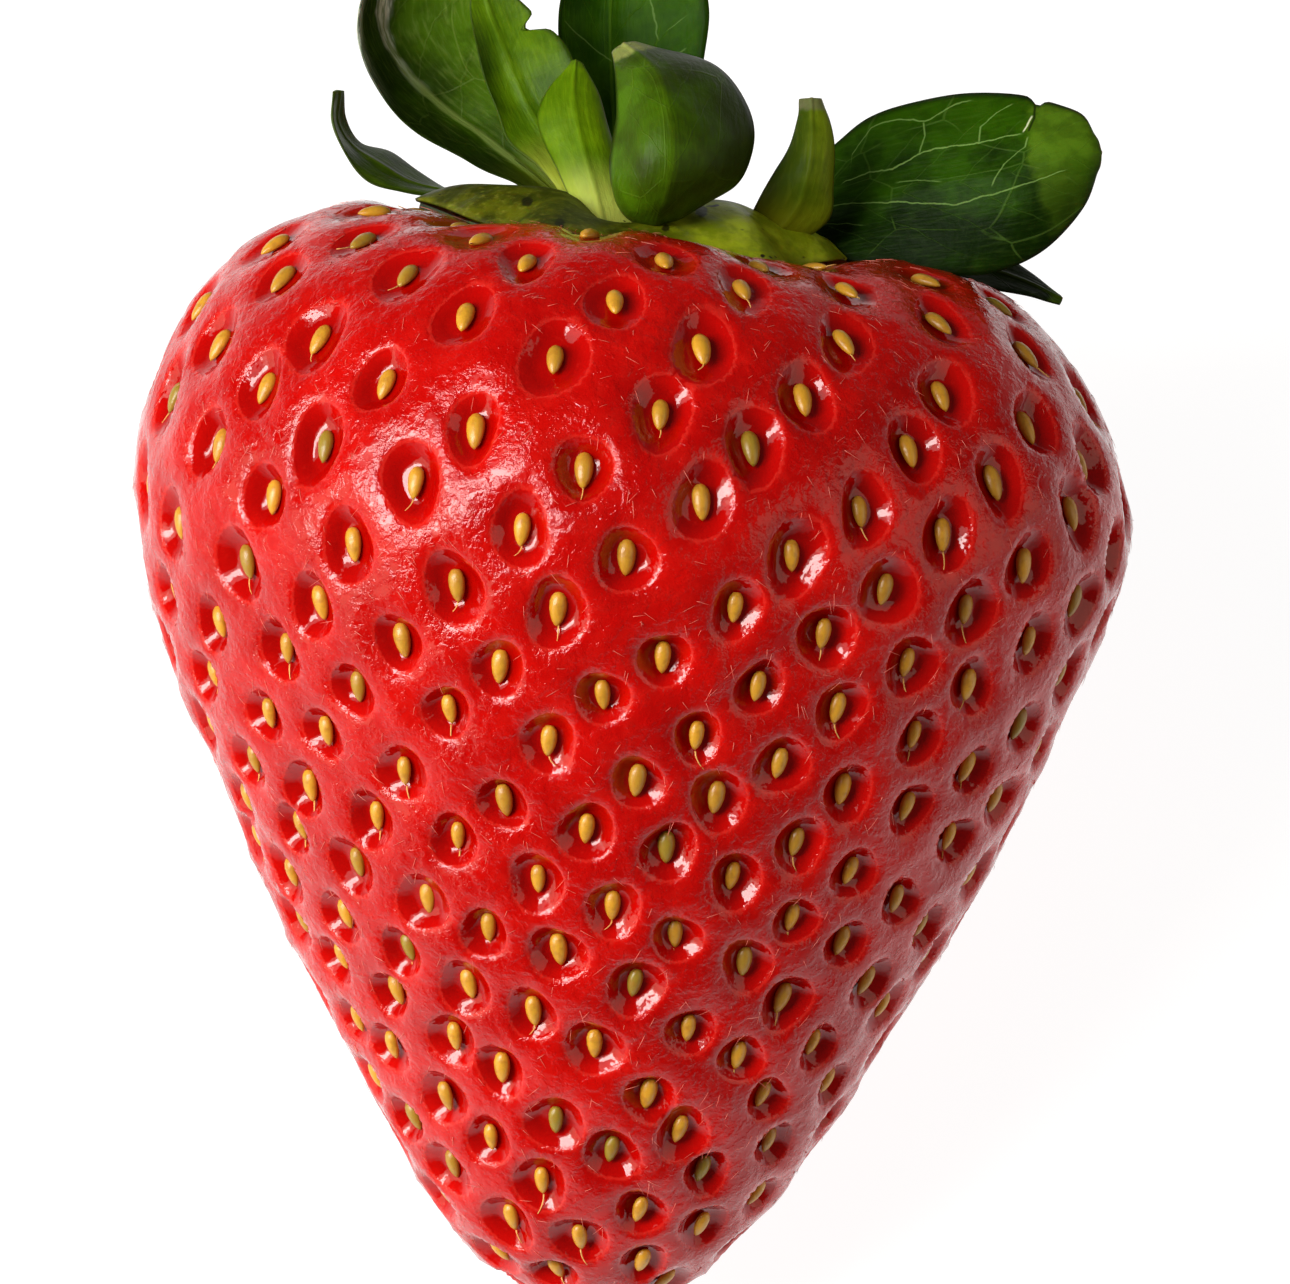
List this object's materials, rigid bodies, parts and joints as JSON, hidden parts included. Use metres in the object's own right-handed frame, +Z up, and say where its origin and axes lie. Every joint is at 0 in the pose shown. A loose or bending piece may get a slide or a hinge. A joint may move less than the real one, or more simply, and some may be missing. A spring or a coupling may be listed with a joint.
{
  "type": "strawberry",
  "caption": "Ripe strawberry with a leafy green calyx, lying on its flank. Its glossy red skin is pitted, with a small yellow achene in each pit.",
  "frame": {"origin": "middle of the small flat spot that the berry rests on, under its weight", "axes": "+Z up from the surface it lies on; the tip points to -Y and the calyx to +Y, with the berry's axis leaning 24 degrees up from the surface; +X to the right as seen from the tip's side"},
  "size_m": [0.0413, 0.0559, 0.0378],
  "materials": {
    "flesh": "gloss",
    "stalk_green": "satin",
    "sepal_green": "satin",
    "bractlet_green": "satin"
  },
  "bodies": {
    "root": {"berry": "flesh", "calyx_disc": "stalk_green", "sepal_left": "sepal_green", "sepal_front_left": "sepal_green", "sepal_back": "sepal_green", "sepal_front": "sepal_green", "sepal_right": "sepal_green", "sepal_back_right": "sepal_green", "sepal_back_left": "sepal_green", "bractlet_left": "bractlet_green", "bractlet_front": "bractlet_green", "bractlet_right": "bractlet_green", "bractlet_low_right": "bractlet_green", "bractlet_back": "bractlet_green"}
  },
  "joints": []
}
